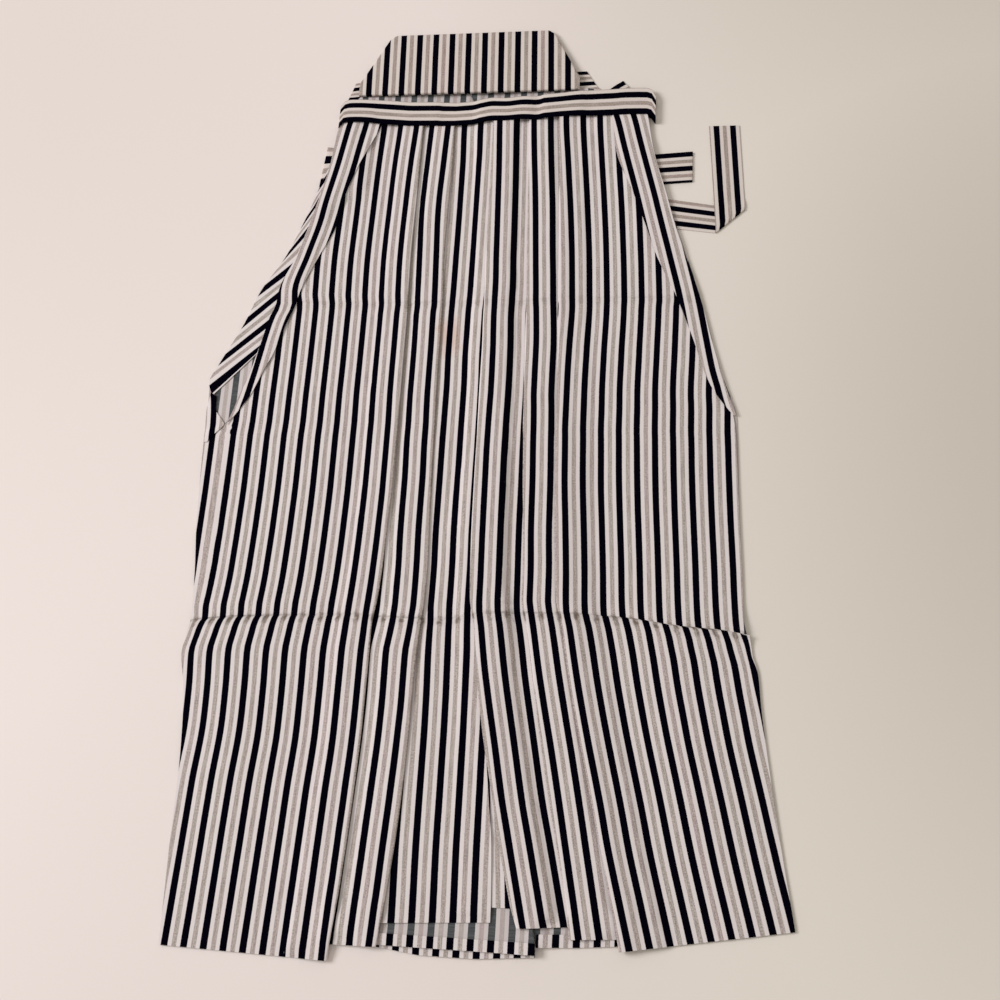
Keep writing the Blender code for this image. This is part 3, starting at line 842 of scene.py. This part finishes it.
def backs(pile, striped, reverse):
    """The back, wrong side up, with its slit edge and hems turned over."""
    meeting = BACK_HEM_RIGHT[-1][0]
    right_hem = BACK_HEM_RIGHT[:-1] + [(meeting - AIR / 2, BACK_HEM_RIGHT[-1][1])]
    left_hem = BACK_HEM_LEFT[::-1][:-1] + [(meeting + AIR / 2, BACK_HEM_LEFT[0][1])]
    lowest, highest = (corner[0] for corner in GUSSET[-1])
    right_panel, left_panel = "back_right_panel_cloth", "back_left_panel_cloth"
    pieces = (
        ("back_right_panel",
         back_panel(("right", 0), ("seam", -AIR / 2), right_hem, BACK_DARK_RIGHT), True, "floor"),
        ("back_left_panel",
         back_panel(("left", 0), ("seam", AIR / 2), left_hem, BACK_DARK_LEFT), True, "floor"),
        ("back_right_slit_facing", slit_facing(), False, right_panel),
        ("back_right_hem_turn",
         hem_turn(right_hem, -104, meeting - AIR, BACK_TURN, RIGHT_TURN_DARK), False, right_panel),
        ("back_left_hem_turn",
         hem_turn(left_hem, meeting + AIR, 180, BACK_TURN, LEFT_TURN_DARK), False, left_panel),
        ("gusset", gusset(), True, right_panel),
        ("gusset_hem_turn",
         hem_turn(GUSSET[-1], lowest, highest, GUSSET_TURN, GUSSET_DARK), False, "gusset_cloth"),
    )
    for node, layer, wrong_side_up, under in pieces:
        finishes = (reverse, striped) if wrong_side_up else (striped, reverse)
        shell(node, [layer.lay(pile)], finishes)


def tie_layers(stations, stripes):
    """A strap laid in straight runs, folded flat at each turn."""
    layers = []
    along = 0.0
    for near, far, (dark, repeat) in zip(stations, stations[1:], stripes):
        near, far = np.array(near, float), np.array(far, float)
        run = np.linalg.norm(far.mean(axis=0) - near.mean(axis=0))
        share = np.linspace(0, 1, 9)[:, None]
        edges = []
        for end in (near, far):
            points = end[0] + (end[1] - end[0]) * share
            wide = np.linalg.norm(points - points[0], axis=1)
            count = (wide * TIE_WIDTH / wide[-1] - dark) / repeat
            edges.append(np.concatenate([points, count[:, None], np.full((9, 1), along)], axis=1))
            along += run
        along -= run
        layers.append(Layer(*edges))
    return layers


def ties(pile, striped):
    """The straps, which run out from under the garment."""
    for node, stations, stripes in TIES:
        layers = [layer.lay(pile) for layer in tie_layers(stations, stripes)]
        shell(node, layers, (striped, striped))


def waist_band():
    """The band's top stretch, and at each end the return that goes behind the garment."""

    def stretch(xs):
        low, high = (across_of(WAIST_BAND, name, xs) for name in ("low", "high"))
        share = np.linspace(0, 1, 9)[:, None]
        y = low + (high - low) * share
        x = np.tile(xs, (9, 1))
        count = BAND_STRIPES[0] + (BAND_STRIPES[1] - BAND_STRIPES[0]) * share + 0 * x
        grid = np.stack([x, y, count, x], axis=2)
        layer = Layer(grid[:, 0], grid[:, -1], xs.size)
        layer.grid = grid
        return layer

    left, right = WAIST_BAND[0].x, WAIST_BAND[-1].x
    return [
        stretch(np.linspace(left + BAND_RETURN, left, 9)),
        stretch(np.linspace(left, right, 76)),
        stretch(np.linspace(right, right - BAND_RETURN, 9)),
    ]


def slit_corner(pile, striped, reverse):
    """The corner at the foot of the right slit. It ends on the front, whose stripes it carries on."""
    edges = []
    for k in (0, 2):
        place = np.linspace(0, len(SLIT_CORNER) - 1, 41)
        x, y = (smooth(place, range(len(SLIT_CORNER)), [row[k + axis] for row in SLIT_CORNER])
                for axis in (0, 1))
        dark = smooth(-y, *np.array([(-row[0], row[1]) for row in CORNER_DARK]).T)
        edges.append(np.stack([x, y, (x - dark) / REPEAT, y], axis=1))
    shell("slit_corner_right", [Layer(*edges).lay(pile, reach=0)], (striped, reverse))


def slit_trims(pile, striped, reverse):
    """The straight strip down each slit."""
    strips = (
        ("slit_strip_right", SLIT_STRIP_RIGHT, "front_right_panel_cloth"),
        ("slit_strip_left", SLIT_STRIP_LEFT, "front_left_panel_cloth"),
    )
    for node, table, under in strips:
        y = np.append(np.arange(WAIST_Y, table[-1].y, -ROW_STEP), table[-1].y)
        edges = []
        for side in ("outer", "inner"):
            x = column_of(table, side, y)
            edges.append(np.stack([x, y, (x - column_of(table, "dark", y)) / REPEAT, y], axis=1))
        shell(node, [Layer(*edges).lay(pile, raised=True)], (striped, reverse))


def back_board(striped):
    """The stiff board in its cloth: its waist end is raised on the ties, and its rim is rounded."""
    y_low, y_high = BACK_BOARD[0].y, BACK_BOARD[-1].y
    inner = np.linspace(y_low + BOARD_ROUND, y_high - BOARD_ROUND, 20)
    rim = BOARD_ROUND * (1 - np.cos(np.radians([0, 20, 40, 60, 75])))
    y = np.concatenate([y_low + rim, inner, (y_high - rim)[::-1]])
    half = np.interp(y, [row.y for row in BACK_BOARD], [row.half for row in BACK_BOARD])
    from_rim = np.concatenate([rim, np.linspace(BOARD_ROUND, 90, 24)])
    share = from_rim / from_rim[-1]
    across = np.concatenate([share - 1, (1 - share)[-2::-1]])
    edge_x = np.minimum(from_rim, BOARD_ROUND)
    inset = np.concatenate([edge_x, edge_x[-2::-1]])
    inset_y = np.minimum(np.minimum(y - y_low, y_high - y), BOARD_ROUND)
    x = BOARD_X + half[:, None] * across
    rise = rounded(inset[None, :]) * rounded(inset_y[:, None])
    base = np.interp(y, [y_low, y_high], [BOARD_HIGH, BOARD_LOW])[:, None] + BOARD_THICK / 2
    rows = np.tile(y[:, None], (1, x.shape[1]))
    top, bottom = (np.stack([x, rows, base + side * BOARD_THICK / 2 * rise], axis=2) for side in (1, -1))
    points = np.concatenate([top.reshape(-1, 3), bottom.reshape(-1, 3)])
    parts = wall_faces(*x.shape)
    dark = BOARD_DARK + BOARD_LEAN * (rows - y_low)
    coordinates = np.stack([(x - dark) / BOARD_REPEAT, rows], axis=2).reshape(-1, 2)
    faces = np.concatenate(parts)[:, ::-1]
    piece = mesh_object("back_board_cloth", points, faces, np.tile(coordinates, (2, 1)), (striped,),
                        np.zeros(len(faces)))
    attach(piece, "root")
    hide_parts("back_board")
    return piece


def rounded(inset):
    """The share of its full thickness that the board has this far in from its rim."""
    return 0.35 + 0.65 * np.sqrt(1 - (1 - inset / BOARD_ROUND) ** 2)


# ---- materials ----


class Tree:
    """A short way to build a material's nodes. Each call gives the new node's first output."""

    def __init__(self, name):
        self.material = bpy.data.materials.new(name)
        self.material.use_nodes = True
        self.tree = self.material.node_tree
        self.shader = self.tree.nodes["Principled BSDF"]

    def put(self, socket, value):
        if isinstance(value, bpy.types.NodeSocket):
            self.tree.links.new(value, socket)
        else:
            socket.default_value = value

    def node(self, kind, settings=(), **inputs):
        made = self.tree.nodes.new("ShaderNode" + kind)
        for name, value in dict(settings).items():
            setattr(made, name, value)
        for name, value in inputs.items():
            self.put(made.inputs[name.replace("_", " ")], value)
        return made

    def math(self, operation, *values, clamp=False):
        made = self.node("Math", {"operation": operation, "use_clamp": clamp})
        for socket, value in zip(made.inputs, values):
            self.put(socket, value)
        return made.outputs[0]

    def add(self, first, second):
        return self.math("ADD", first, second)

    def less(self, first, second):
        return self.math("SUBTRACT", first, second)

    def times(self, first, second):
        return self.math("MULTIPLY", first, second)

    def step(self, value, low, high, start=0.0, end=1.0):
        """A soft step from start, below low, to end, above high."""
        made = self.node("MapRange", {"interpolation_type": "SMOOTHSTEP"}, Value=value,
                         From_Min=low, From_Max=high, To_Min=start, To_Max=end)
        return made.outputs["Result"]

    def mix(self, share, first, second, blend="MIX"):
        made = self.node("Mix", {"data_type": "RGBA", "blend_type": blend})
        for name, value in (("Factor_Float", share), ("A_Color", first), ("B_Color", second)):
            socket = next(item for item in made.inputs if item.identifier == name)
            self.put(socket, value)
        return next(item for item in made.outputs if item.identifier == "Result_Color")

    def noise(self, place, scale, detail=2.0, roughness=0.5):
        made = self.node("TexNoise", Vector=place, Scale=scale, Detail=detail, Roughness=roughness)
        return made.outputs["Fac"]

    def vector(self, *values):
        made = self.node("CombineXYZ")
        for socket, value in zip(made.inputs, values):
            self.put(socket, value)
        return made.outputs[0]


def stripe_cloth(name, dark, pale, speckled, flecks, stain=False):
    """Striped silk: a dark stripe, a pale one, a speckled one and a pale one again in each repeat.
    Each stripe's speckled yarn has its own tint. Along the creases it is darkened: a thin painted shadow line
    at each crease, and patchy marks just below it that are partly soiling and partly painted shade."""
    t = Tree(name)
    uv = t.node("UVMap", {"uv_map": STRIPE_MAP}).outputs["UV"]
    split = t.node("SeparateXYZ", Vector=uv).outputs
    across, along = split["X"], split["Y"]
    wide = t.times(across, REPEAT)
    ragged = t.noise(t.vector(wide, along, 0.0), 0.9, 2.0)
    wander = t.noise(t.vector(wide, t.times(along, 0.35), 3.0), 0.06, 1.0)
    count = t.add(across, t.times(t.less(ragged, 0.5), EDGE_RAGGED))
    count = t.add(count, t.times(t.less(wander, 0.5), EDGE_WANDER))
    number = t.math("FLOOR", count)
    place = t.less(count, number)
    from_dark = t.less(0.5, t.math("ABSOLUTE", t.less(place, 0.5)))
    in_dark = t.step(from_dark, DARK_HALF - EDGE_SOFT, DARK_HALF + EDGE_SOFT, 1.0, 0.0)
    in_speckled = t.step(from_dark, SPECKLED_FROM - 1.5 * EDGE_SOFT, SPECKLED_FROM + 1.5 * EDGE_SOFT)

    yarn = t.vector(wide, t.times(along, 0.55), 0.0)
    fine = t.noise(yarn, 1.15, 3.0, 0.65)
    slub = t.noise(t.vector(t.times(wide, 1.2), t.times(along, 0.09), 7.0), 0.55, 2.0, 0.6)
    mottle = t.step(t.add(t.times(fine, 0.72), t.times(slub, 0.28)), 0.36, 0.64)
    cross = t.noise(t.vector(t.times(wide, 0.05), along, 11.0), 0.7, 2.0, 0.7)

    half_number = t.math("FLOOR", t.times(t.add(count, 0.25), 2.0))
    own = t.node("TexWhiteNoise", {"noise_dimensions": "1D"}, W=number).outputs
    drift = t.noise(t.vector(t.times(wide, 0.35), t.times(along, 0.12), 5.0), 0.09, 2.0)
    tinted = t.mix(t.add(t.times(own["Value"], 0.55), t.times(drift, 0.45)), *TINTS)
    speckle = t.mix(mottle, flecks, speckled)
    speckle = t.mix(0.8, speckle, t.mix(1.0, speckle, tinted, "MULTIPLY"))
    pale_own = t.node("TexWhiteNoise", {"noise_dimensions": "1D"}, W=half_number).outputs["Value"]
    pale_tinted = t.mix(t.add(t.times(pale_own, 0.5), t.times(drift, 0.5)),
                        *(tuple(1 - 0.35 * (1 - c) for c in tint[:3]) + (1.0,) for tint in TINTS))
    plain = t.mix(1.0, pale, pale_tinted, "MULTIPLY")
    plain = t.mix(t.step(cross, 0.35, 0.75, 0.0, 0.10), plain, speckled)
    colour = t.mix(in_speckled, plain, speckle)

    # Darkening at the creases: patchy marks just below each crease, partly soiling and partly painted shade,
    # and a thin painted shadow line at the crease itself.
    patchy = t.step(t.noise(t.vector(wide, along, 13.0), 0.16, 2.0, 0.6), 0.32, 0.6)
    faint = t.noise(t.vector(wide, 0.0, 17.0), 0.022, 1.0)
    crease_soil_and_shade = 0.0
    for line_y, strength in CREASE_MARKS:
        off = t.math("ABSOLUTE", t.less(along, line_y - 3.0))
        # smudge: patchy darkening below the crease, partly soiling and partly painted shade
        smudge = t.times(t.step(off, 0.5, 8.0, strength, 0.0), patchy)
        smudge = t.times(smudge, t.step(from_dark, 0.28, 0.40, 0.12, 1.0))
        # a thin painted shadow line along the crease
        edge = t.step(t.math("ABSOLUTE", t.less(along, line_y - 0.4)), 0.5, 1.3, 0.4 * strength, 0.0)
        edge = t.times(edge, t.step(faint, 0.40, 0.60))
        crease_soil_and_shade = t.math("MAXIMUM", crease_soil_and_shade, t.math("MAXIMUM", smudge, edge))
    colour = t.mix(crease_soil_and_shade, colour, CREASE_SOIL_AND_SHADE)
    if stain:
        colour = stained(t, colour)
    lit = tuple(2.6 * c for c in dark[:3]) + (1.0,)
    colour = t.mix(in_dark, colour, t.mix(t.step(cross, 0.3, 0.8, 0.0, 0.55), dark, lit))
    t.put(t.shader.inputs["Base Color"], colour)

    weave = t.node("TexWave", {"bands_direction": "Y"}, Vector=t.vector(wide, along, 0.0),
                   Scale=0.75, Distortion=1.2, Detail=1.0, Detail_Scale=2.0).outputs["Fac"]
    height = t.add(t.times(weave, 0.25), t.times(fine, 0.6))
    height = t.add(height, t.times(t.step(from_dark, 0.10, 0.21), 0.5))
    bump = t.node("Bump", Strength=0.28, Distance=0.00035, Height=height)
    t.put(t.shader.inputs["Normal"], bump.outputs["Normal"])
    t.put(t.shader.inputs["Roughness"], t.step(in_dark, 0.0, 1.0, 0.62, 0.5))
    t.shader.inputs["Specular IOR Level"].default_value = 0.0
    return t.material


def stained(t, colour):
    """A faint rusty smudge low on the right half, and a few specks."""
    place = t.node("TexCoord").outputs["Object"]
    middle = (Vector(STAIN_PLACE) * MM + Vector(ORIGIN))
    off = t.node("VectorMath", {"operation": "SUBTRACT"})
    t.put(off.inputs[0], place)
    t.put(off.inputs[1], tuple(middle))
    scaled = t.node("VectorMath", {"operation": "DIVIDE"})
    t.put(scaled.inputs[0], off.outputs[0])
    t.put(scaled.inputs[1], tuple(MM * size for size in STAIN_SIZE))
    distance = t.node("VectorMath", {"operation": "LENGTH"})
    t.put(distance.inputs[0], scaled.outputs[0])
    uneven = t.noise(place, 70.0, 3.0, 0.6)
    reach = t.add(distance.outputs["Value"], t.times(t.less(uneven, 0.5), 1.6))
    return t.mix(t.step(reach, 0.35, 1.15, 0.42, 0.0), colour, t.mix(1.0, colour, STAIN_COLOUR, "MULTIPLY"))


def floor_material():
    """Pale board with a faint unevenness, soft patches of painted shade, and painted warmer light towards the
    wearer's left.
    """
    t = Tree("floor_board")
    place = t.node("TexCoord").outputs["Object"]
    split = t.node("SeparateXYZ", Vector=place)
    shade = t.times(t.noise(place, 1.1, 3.0, 0.5), 0.05)
    # soft patches of painted shade on the floor
    for x, y, wide, deep, strength in FLOOR_PAINTED_SHADES:
        across = t.math("DIVIDE", t.less(split.outputs["X"], x), wide)
        along = t.math("DIVIDE", t.less(split.outputs["Y"], y), deep)
        away = t.math("SQRT", t.add(t.times(across, across), t.times(along, along)))
        shade = t.math("MAXIMUM", shade, t.step(away, 0.05, 1.0, strength, 0.0))
    # painted warmer light towards the wearer's left
    light = t.mix(t.step(split.outputs["X"], -0.1, 0.35), FLOOR_LIGHT, FLOOR_PAINTED_WARM_LIGHT)
    t.put(t.shader.inputs["Base Color"], t.mix(shade, light, FLOOR_SHADE_COLOUR))
    bump = t.node("Bump", Strength=0.12, Distance=0.004, Height=t.noise(place, 6.0, 4.0, 0.55))
    t.put(t.shader.inputs["Normal"], bump.outputs["Normal"])
    t.shader.inputs["Roughness"].default_value = 0.6
    t.shader.inputs["Specular IOR Level"].default_value = 0.25
    return t.material


# ---- surroundings ----


def at(x, y, z):
    return Vector(ORIGIN) + Vector((x, y, z)) * MM


def floor():
    mesh = bpy.data.meshes.new("floor")
    corners = [(x * FLOOR_HALF, y * FLOOR_HALF, 0) for x, y in ((-1, -1), (1, -1), (1, 1), (-1, 1))]
    mesh.from_pydata(corners, [], [(0, 1, 2, 3)])
    mesh.materials.append(floor_material())
    made = bpy.data.objects.new("floor", mesh)
    made.location.z = -FLOOR_DROP * MM
    bpy.context.scene.collection.objects.link(made)


def camera():
    """Looks down from in front and to the wearer's left of the hem, turned with the photographer's hands."""
    azimuth, elevation = math.radians(CAMERA_AZIMUTH), math.radians(CAMERA_ELEVATION)
    back = Vector((math.sin(azimuth) * math.cos(elevation), -math.cos(azimuth) * math.cos(elevation),
                   math.sin(elevation)))
    upright = (Vector((0, 0, 1)) - back * back.z).normalized()
    roll = math.radians(CAMERA_ROLL)
    up = upright * math.cos(roll) + (-back).cross(upright) * math.sin(roll)
    turned = Matrix((up.cross(back), up, back)).transposed().to_4x4()
    lens = bpy.data.cameras.new("camera")
    lens.lens = CAMERA_LENS
    lens.sensor_width = CAMERA_SENSOR
    made = bpy.data.objects.new("camera", lens)
    made.matrix_world = Matrix.Translation(at(*CAMERA_AIM) + back * CAMERA_DISTANCE * MM) @ turned
    bpy.context.scene.collection.objects.link(made)
    bpy.context.scene.camera = made


def area_light(name, place, aim, size, power, colour):
    light = bpy.data.lights.new(name, "AREA")
    light.shape = "DISK"
    light.size = size
    light.energy = power
    light.color = colour
    made = bpy.data.objects.new(name, light)
    made.location = place
    made.rotation_euler = (Vector(aim) - Vector(place)).to_track_quat("-Z", "Y").to_euler()
    bpy.context.scene.collection.objects.link(made)


def lights():
    world = bpy.data.worlds.new("studio")
    world.use_nodes = True
    background = world.node_tree.nodes["Background"]
    background.inputs["Color"].default_value = WORLD_COLOUR
    background.inputs["Strength"].default_value = WORLD_STRENGTH
    bpy.context.scene.world = world
    for lamp in LAMPS:
        area_light(*lamp)


def main():
    striped = stripe_cloth("striped_cloth", STRIPE_DARK, STRIPE_PALE, STRIPE_SPECKLED, STRIPE_FLECKS,
                           stain=True)
    reverse = stripe_cloth("cloth_reverse", REVERSE_DARK, REVERSE_PALE, REVERSE_SPECKLED, REVERSE_FLECKS)
    waist = stripe_cloth("waist_cloth", STRIPE_DARK, WAIST_PALE, WAIST_SPECKLED, WAIST_FLECKS)
    pile = Pile()
    band = waist_band()
    for end in (band[0], band[2]):
        end.lay(pile)
    ties(pile, waist)
    backs(pile, striped, reverse)
    fronts(pile, (striped, reverse))
    slit_corner(pile, striped, reverse)
    slit_trims(pile, striped, reverse)
    band[1].lay(pile, reach=BAND_REACH)
    shell("front_tie_band", band, (waist, waist))
    back_board(waist)
    floor()
    camera()
    lights()
    bpy.context.scene.view_settings.view_transform = "Standard"


main()
